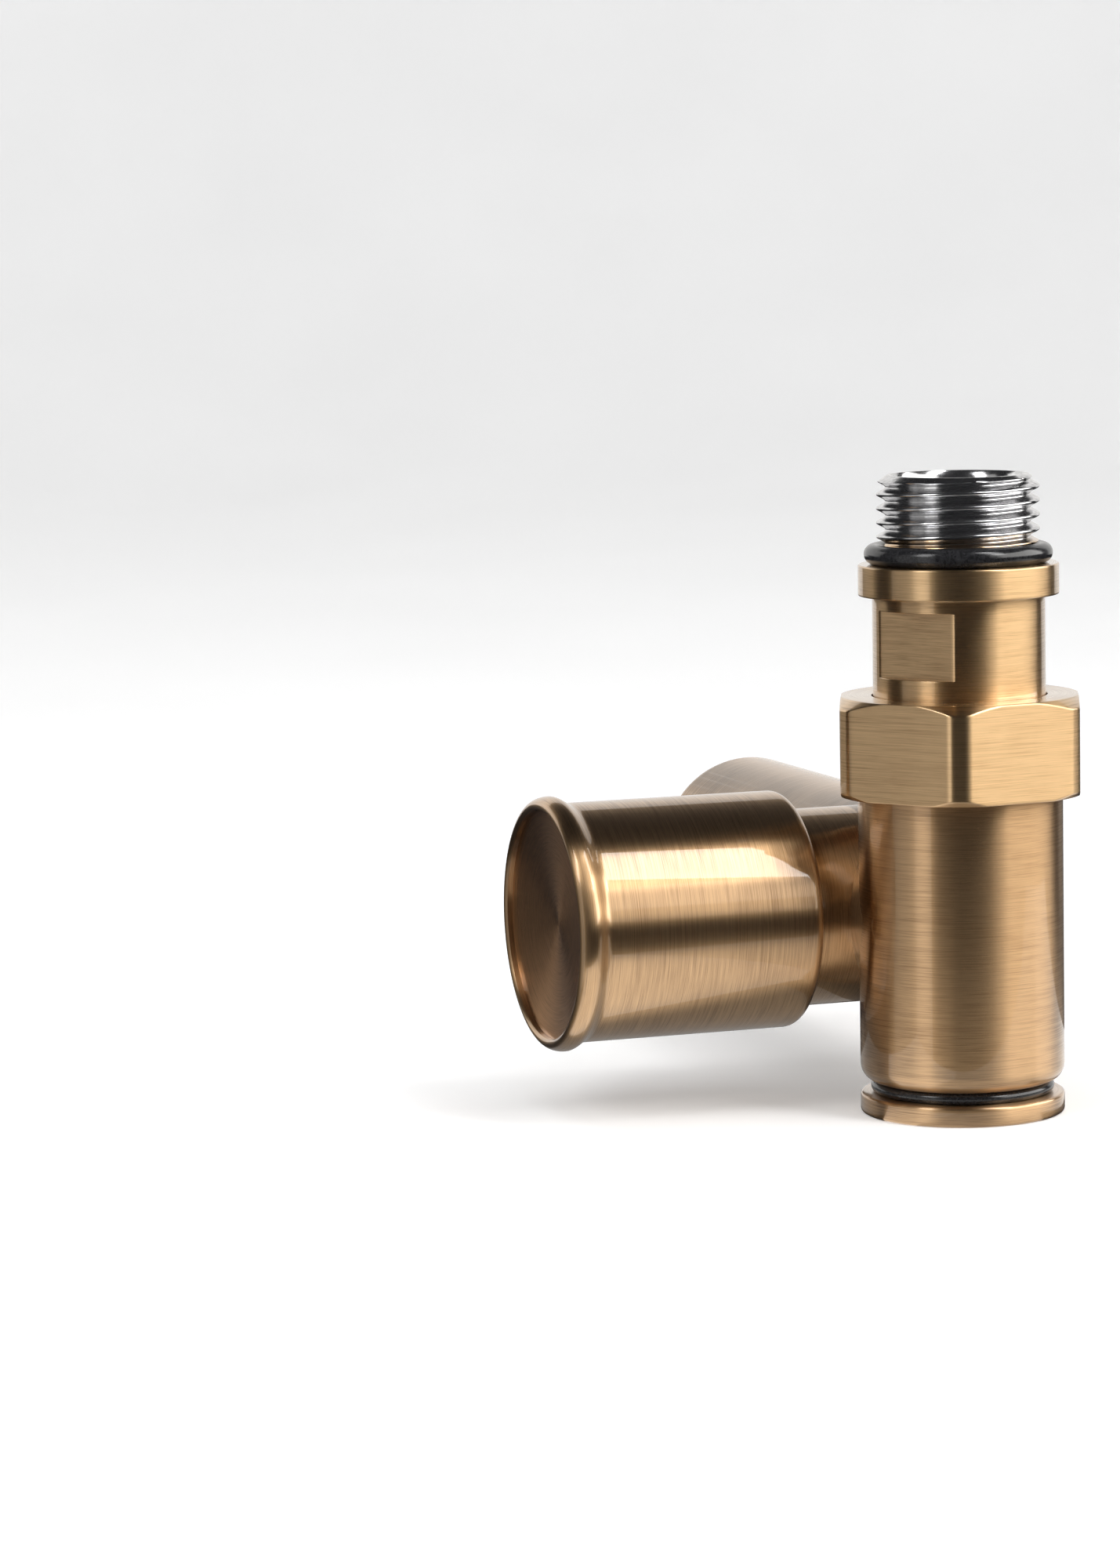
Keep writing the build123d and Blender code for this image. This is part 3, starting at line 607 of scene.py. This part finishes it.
def brushed(name, colour, dark, axis, roughness=0.37, anisotropy=0.9, regions=None):
    """Brushed metal under clear lacquer.

    regions(tree, point) may return a list of (mask, axis) that take over parts of the piece.
    """
    tree = Tree(name)
    point = tree.position()
    normal = tree.normal()
    fine, broad, across = brush_lines(tree, point, normal, *axis)
    if regions:
        for mask, other in regions(tree, point):
            other_fine, other_broad, other_across = brush_lines(tree, point, normal, *other)
            fine = tree.mix(mask, fine, other_fine)
            broad = tree.mix(mask, broad, other_broad)
            across = tree.mix(mask, across, other_across)
    blotch = tree.noise(point, 0.11, 3.0, 0.55)
    fine_part = tree.math("MULTIPLY", fine, FINE_SHARE)
    broad_part = tree.math("MULTIPLY", broad, BROAD_SHARE)
    blotch_part = tree.math("MULTIPLY", tree.math("SUBTRACT", blotch, 0.5), BLOTCH_SHARE)
    tone = tree.math("ADD", tree.math("ADD", fine_part, broad_part), blotch_part)
    light = tuple(min(c * 1.2, 1) for c in colour)
    shade = tree.ramp(tone, [(0.32, dark), (0.52, colour), (0.72, light)])
    rough = tree.scale_range(tone, 0.3, 0.7, roughness + 0.06, roughness - 0.06)
    bumps = tree.bump(tree.math("ADD", fine, tree.math("MULTIPLY", broad, 0.4)), 0.35, 0.01)
    tree.set(Base_Color=shade, Metallic=1.0, Roughness=rough, Normal=bumps)
    tree.set(Anisotropic=anisotropy, Tangent=tree.to_world(across))
    tree.set(Coat_Weight=1.0, Coat_Roughness=0.03, Coat_IOR=1.5)
    return tree.material


BRONZE = (0.56, 0.355, 0.185)
BRONZE_DARK = (0.36, 0.215, 0.105)
GOLDEN = (0.70, 0.47, 0.245)
GOLDEN_DARK = (0.48, 0.30, 0.145)
NICKEL_STOPS = [(0.3, (0.42, 0.42, 0.43)), (0.5, (0.66, 0.66, 0.67)), (0.75, (0.82, 0.82, 0.84))]
FACE = (0.66, 0.37, 0.18)
FACE_DARK = (0.45, 0.25, 0.12)


def body_regions(tree, point):
    """On the casting, the neck and the arm are brushed round their own axes, up to where they meet."""
    split = tree.nodes.new("ShaderNodeSeparateXYZ")
    tree.put(split.inputs[0], point)
    x, y, z = split.outputs
    up = tree.math("SUBTRACT", z, AXIS_HEIGHT)

    def depth(a, b, radius):
        square = tree.math("ADD", tree.math("MULTIPLY", a, a), tree.math("MULTIPLY", b, b))
        return tree.math("ABSOLUTE", tree.math("SUBTRACT", tree.math("SQRT", square), radius))

    barrel = depth(x, y, BARREL_R)
    arm = depth(x, up, ARM_R)
    neck = depth(tree.math("SUBTRACT", y, NECK_PLACE), up, NECK_R)
    on_arm = tree.math("LESS_THAN", arm, barrel)
    on_neck = tree.math("LESS_THAN", neck, tree.math("MINIMUM", barrel, arm))
    left_side = tree.math("LESS_THAN", x, NECK_SIDE)
    return [(on_arm, ARM_AXIS), (tree.math("MULTIPLY", on_neck, left_side), HEAD_AXIS)]


def thread_metal():
    """Nickel plate that turns to bronze at the thread's root end."""
    tree = Tree("thread_nickel")
    point = tree.position()
    split = tree.nodes.new("ShaderNodeSeparateXYZ")
    tree.put(split.inputs[0], point)
    fine, _, across = brush_lines(tree, point, tree.normal(), *BARREL_AXIS)
    speck = tree.noise(point, 1.3, 4.0, 0.6)
    ragged = tree.math("MULTIPLY", tree.math("SUBTRACT", speck, 0.5), 1.2)
    height = tree.math("ADD", split.outputs["Z"], ragged)
    plated = tree.scale_range(height, COLLAR_TOP + 2.3, COLLAR_TOP + 3.6, 0.0, 1.0)
    tone = tree.math("ADD", tree.math("MULTIPLY", speck, 0.6), tree.math("MULTIPLY", fine, 0.4))
    colour = tree.mix(plated, (*GOLDEN, 1), tree.ramp(tone, NICKEL_STOPS))
    tree.set(Base_Color=colour, Metallic=1.0, Anisotropic=0.3, Tangent=tree.to_world(across))
    tree.set(Roughness=tree.scale_range(speck, 0.3, 0.7, 0.22, 0.13))
    tree.set(Normal=tree.bump(tree.math("ADD", fine, speck), 0.35, 0.01))
    return tree.material


def rubber():
    """Smooth black rubber with a faint mottle."""
    tree = Tree("black_rubber")
    point = tree.position()
    mottle = tree.noise(point, 2.2, 4.0, 0.6)
    grain = tree.noise(point, 4.0, 2.0, 0.5)
    tree.set(Base_Color=tree.ramp(mottle, [(0.35, (0.008, 0.008, 0.009)), (0.7, (0.024, 0.024, 0.026))]))
    tree.set(Roughness=tree.scale_range(mottle, 0.3, 0.7, 0.15, 0.22))
    tree.set(Normal=tree.bump(grain, 0.05, 0.01))
    return tree.material


def plain_metal(name, colour, roughness, axis):
    """Machined metal with turning marks."""
    tree = Tree(name)
    point = tree.position()
    fine, broad, across = brush_lines(tree, point, tree.normal(), *axis)
    darker = tuple(c * 0.72 for c in colour)
    tone = tree.math("ADD", tree.math("MULTIPLY", fine, 0.6), tree.math("MULTIPLY", broad, 0.4))
    tree.set(Base_Color=tree.ramp(tone, [(0.3, darker), (0.6, colour)]), Metallic=1.0)
    tree.set(Anisotropic=0.5, Tangent=tree.to_world(across))
    tree.set(Roughness=tree.scale_range(tone, 0.3, 0.7, roughness + 0.06, roughness - 0.05))
    tree.set(Normal=tree.bump(fine, 0.3, 0.01))
    return tree.material


def moulded(name, colour, roughness, speckle=0.06):
    """Moulded plastic or pressed fibre with a fine grain."""
    tree = Tree(name)
    point = tree.position()
    cloud = tree.noise(point, 0.6, 3.0, 0.6)
    grain = tree.noise(point, 9.0, 3.0, 0.6)
    low = tuple(max(c - speckle, 0) for c in colour)
    tone = tree.math("MULTIPLY", tree.math("ADD", cloud, grain), 0.5)
    tree.set(Base_Color=tree.ramp(tone, [(0.35, low), (0.65, colour)]))
    tree.set(Roughness=tree.scale_range(grain, 0.3, 0.7, roughness - 0.06, roughness + 0.06))
    tree.set(Normal=tree.bump(grain, 0.2, 0.02))
    return tree.material


BRASS = (0.72, 0.54, 0.27)
STEEL = (0.6, 0.6, 0.61)
ZINC = (0.5, 0.51, 0.53)
FIBRE = (0.08, 0.15, 0.12)
HUB_PLASTIC = (0.72, 0.71, 0.67)
GUIDE_PLASTIC = (0.85, 0.85, 0.83)

finishes = {
    "body": brushed("bronze_body", BRONZE, BRONZE_DARK, BARREL_AXIS, regions=body_regions),
    "barrel": brushed("bronze_plug", BRONZE, BRONZE_DARK, BARREL_AXIS),
    "golden": brushed("bronze_golden", GOLDEN, GOLDEN_DARK, BARREL_AXIS, roughness=0.36),
    "knob": brushed("bronze_knob", BRONZE, BRONZE_DARK, HEAD_AXIS, roughness=0.34),
    "face": brushed("bronze_face", FACE, FACE_DARK, HEAD_AXIS, roughness=0.35, anisotropy=0.7),
    "thread": thread_metal(),
    "rubber": rubber(),
    "brass": plain_metal("machined_brass", BRASS, 0.3, HEAD_AXIS),
    "stem": plain_metal("stem_steel", STEEL, 0.25, HEAD_AXIS),
    "ring_steel": plain_metal("ring_steel", STEEL, 0.28, BARREL_AXIS),
    "zinc": plain_metal("zinc_steel", ZINC, 0.35, HEAD_AXIS),
    "gasket": moulded("gasket_fibre", FIBRE, 0.6, 0.03),
    "hub": moulded("hub_plastic", HUB_PLASTIC, 0.45),
    "guide": moulded("guide_plastic", GUIDE_PLASTIC, 0.4, 0.04),
}

coats = {
    "valve_body": "body",
    "bottom_plug_turned": "barrel",
    "bottom_plug": "barrel",
    "bottom_plug_o_ring": "rubber",
    "union_nut_turned": "golden",
    "union_nut": "golden",
    "nut_slip_washer": "guide",
    "nut_retaining_ring": "ring_steel",
    "union_gasket": "gasket",
    "tailpiece_tube": "golden",
    "tailpiece_thread": "thread",
    "radiator_tailpiece": "golden",
    "radiator_o_ring": "rubber",
    "headwork_body": "brass",
    "headwork_o_ring": "rubber",
    "stem_guide_bush": "guide",
    "headwork_circlip": "ring_steel",
    "stem": "stem",
    "stem_o_rings": "rubber",
    "disc_holder": "brass",
    "swivel_pin": "stem",
    "valve_washer": "rubber",
    "washer_screw": "stem",
    "knob_shell_turned": "knob",
    "knob_shell": "knob",
    "knob_end_cap": "face",
    "knob_insert": "hub",
    "knob_screw": "zinc",
    "knob_lock_washer": "zinc",
    "knob_guide_ring": "guide",
}
for piece_name, finish in coats.items():
    piece_mesh = bpy.data.objects[piece_name].data
    piece_mesh.materials.clear()
    piece_mesh.materials.append(finishes[finish])


# ================================================================ floor, light and camera
CAMERA_AZIMUTH = radians(23.5)
CAMERA_DISTANCE = 614.9
CAMERA_HEIGHT = 118.2
CAMERA_PITCH = radians(6.95)
CAMERA_YAW = radians(4.81)
CAMERA_ROLL = radians(1.07)
CAMERA_LENS = 110.0
SENSOR_HEIGHT = 36.0

# The studio is in metres.
CARD_DISTANCE = 1.6
LIGHT_TARGET = (0, 0, 0.03)
COVE_STEPS = 96
COVE_CURVE_STEPS = 16
CARD_STEPS = 16
CARD_COLOUR = (1, 0.985, 0.96, 1)
# The floor cards lie this far under the floor, in millimetres.
FLOOR_CARD_DROP = 0.2


def floor_material():
    """Pale matt paper with a very faint mottle, lifted a little so that it stays pale to its edges."""
    tree = Tree("pale_paper")
    cloud = tree.noise(tree.position(), 0.01, 2.0, 0.5)
    paper = tree.ramp(cloud, [(0.3, (0.84, 0.84, 0.84)), (0.7, (0.87, 0.87, 0.87))])
    tree.set(Base_Color=paper, Roughness=0.9)
    tree.set(Emission_Color=(1, 1, 1, 1), Emission_Strength=0.22)
    return tree.material


def link_stage(name, verts, faces, material):
    """A piece of the studio, in metres."""
    mesh = bpy.data.meshes.new(name)
    mesh.from_pydata(verts, [], faces)
    mesh.materials.append(material)
    mesh.shade_smooth()
    piece = bpy.data.objects.new(name, mesh)
    bpy.context.scene.collection.objects.link(piece)
    return piece


def make_cove():
    """A pale round floor that curves up into a wall all round.  The metal reflects the cards instead."""
    floor_r, curve_r, wall = 1.3, 0.5, 2.2
    outline = [(0.3 * k, 0.0) for k in range(5)]
    for i in range(COVE_CURVE_STEPS + 1):
        turn = pi / 2 * i / COVE_CURVE_STEPS
        outline.append((floor_r + curve_r * sin(turn), curve_r * (1 - cos(turn))))
    outline.append((floor_r + curve_r, wall))
    turns = [2 * pi * i / COVE_STEPS for i in range(COVE_STEPS)]
    verts = [(r * cos(turn), r * sin(turn), z) for r, z in outline for turn in turns]
    faces = grid_faces(len(outline), COVE_STEPS)
    cove = link_stage("cove", verts, faces, floor_material())
    cove.visible_glossy = False


def toward(azimuth, elevation):
    """Direction out from the valve, its azimuth in degrees to the right of the camera's side."""
    flat = cos(radians(elevation))
    turn = Matrix.Rotation(radians(azimuth) - CAMERA_AZIMUTH, 3, "Z")
    return turn @ Vector((0, -flat, sin(radians(elevation))))


def make_card(name, verts, faces, radiance):
    """A glowing card that shows only as a reflection."""
    material = bpy.data.materials.new(name)
    material.use_nodes = True
    nodes = material.node_tree.nodes
    nodes.clear()
    glow = nodes.new("ShaderNodeEmission")
    glow.inputs["Color"].default_value = CARD_COLOUR
    glow.inputs["Strength"].default_value = radiance
    output = nodes.new("ShaderNodeOutputMaterial")
    material.node_tree.links.new(glow.outputs[0], output.inputs["Surface"])
    material.cycles.emission_sampling = "NONE"
    card = link_stage(name, verts, faces, material)
    card.visible_camera = False
    card.visible_diffuse = False
    card.visible_transmission = False
    card.visible_shadow = False


def curved_card(name, azimuths, elevations, radiance):
    """A card bent round the valve between two azimuths and two elevations."""
    shares = [i / CARD_STEPS for i in range(CARD_STEPS + 1)]
    across = [azimuths[0] + (azimuths[1] - azimuths[0]) * share for share in shares]
    upward = [elevations[0] + (elevations[1] - elevations[0]) * share for share in shares]
    verts = [toward(azimuth, elevation) * CARD_DISTANCE for elevation in upward for azimuth in across]
    faces = grid_faces(len(upward), len(across), ring=False)
    make_card(name, verts, faces, radiance)


def floor_card(name, low, high, radiance):
    """A flat card on the floor, its corners in millimetres to the camera's right and away from it."""
    turn = Matrix.Rotation(-CAMERA_AZIMUTH, 3, "Z")
    corners = [(low[0], low[1]), (high[0], low[1]), (high[0], high[1]), (low[0], high[1])]
    verts = [turn @ Vector((x * MM, y * MM, -FLOOR_CARD_DROP * MM)) for x, y in corners]
    make_card(name, verts, [(0, 1, 2, 3)], radiance)


def camera_frame():
    """Right, up and view directions of the camera, in the frame's axes."""
    flat = cos(CAMERA_PITCH)
    ahead = Vector((-sin(CAMERA_YAW) * flat, cos(CAMERA_YAW) * flat, -sin(CAMERA_PITCH)))
    right = Vector((cos(CAMERA_YAW), sin(CAMERA_YAW), 0))
    turn = Matrix.Rotation(-CAMERA_AZIMUTH, 3, "Z")
    return turn @ right, turn @ right.cross(ahead), turn @ ahead


def make_camera():
    """The camera, in front of the valve and a little above it."""
    data = bpy.data.cameras.new("camera")
    data.sensor_fit = "VERTICAL"
    data.sensor_height = SENSOR_HEIGHT
    data.lens = CAMERA_LENS
    data.clip_start = 0.01
    camera = bpy.data.objects.new("camera", data)
    right, up, ahead = camera_frame()
    turned_frame = Matrix((right, up, -ahead)).transposed()
    roll = Matrix.Rotation(-CAMERA_ROLL, 3, "Z")
    place = Matrix.Rotation(-CAMERA_AZIMUTH, 3, "Z") @ Vector((0, -CAMERA_DISTANCE, CAMERA_HEIGHT)) * MM
    camera.matrix_world = Matrix.Translation(place) @ (turned_frame @ roll).to_4x4()
    bpy.context.scene.collection.objects.link(camera)
    bpy.context.scene.camera = camera


def softbox(name, azimuth, elevation, distance, size, radiance, reflected=True):
    """An area light round the valve, its azimuth in degrees to the right of the camera's side."""
    data = bpy.data.lights.new(name, "AREA")
    data.shape = "RECTANGLE"
    data.size, data.size_y = size
    data.energy = radiance * pi * size[0] * size[1]
    light = bpy.data.objects.new(name, data)
    aim = toward(azimuth, elevation)
    light.location = Vector(LIGHT_TARGET) + aim * distance
    light.rotation_euler = (-aim).to_track_quat("-Z", "Y").to_euler()
    light.visible_camera = False
    light.visible_glossy = reflected
    bpy.context.scene.collection.objects.link(light)


make_cove()
make_camera()
# The softboxes light the valve, and the cards are what its metal reflects.
softbox("key_right", 57, 52, 0.9, (0.22, 0.6), 8)
softbox("key_left", -48, 42, 0.9, (0.25, 0.4), 5)
softbox("fill_top", 0, 88, 1.25, (1.2, 1.2), 1.8, reflected=False)
curved_card("card_right_low", (40, 52), (7, 18), 0.5)
curved_card("card_right_high", (40, 52), (18, 38), 1.5)
curved_card("card_far_right", (52, 125), (6, 42), 4.2)
curved_card("card_left", (-52, -33), (-35, 40), 0.75)
curved_card("card_far_left", (-82, -52), (-35, 40), 0.4)
curved_card("card_rear_left", (-165, -112), (2, 32), 1.1)
curved_card("card_back", (142, 218), (-4, 36), 0.9)
floor_card("card_front_left", (-60, -54), (-6, -8), 1.2)
floor_card("card_front_right", (-6, -54), (220, -8), 0.7)
floor_card("card_side", (16, -8), (220, 60), 1.0)
floor_card("card_under", (-60, -8), (-14, 40), 0.28)

world = bpy.data.worlds.new("studio")
bpy.context.scene.world = world
world.use_nodes = True
world.node_tree.nodes["Background"].inputs["Color"].default_value = (0.95, 0.95, 1.0, 1)
world.node_tree.nodes["Background"].inputs["Strength"].default_value = 0.03

bpy.context.scene.view_settings.view_transform = "Standard"
bpy.context.scene.view_settings.look = "None"
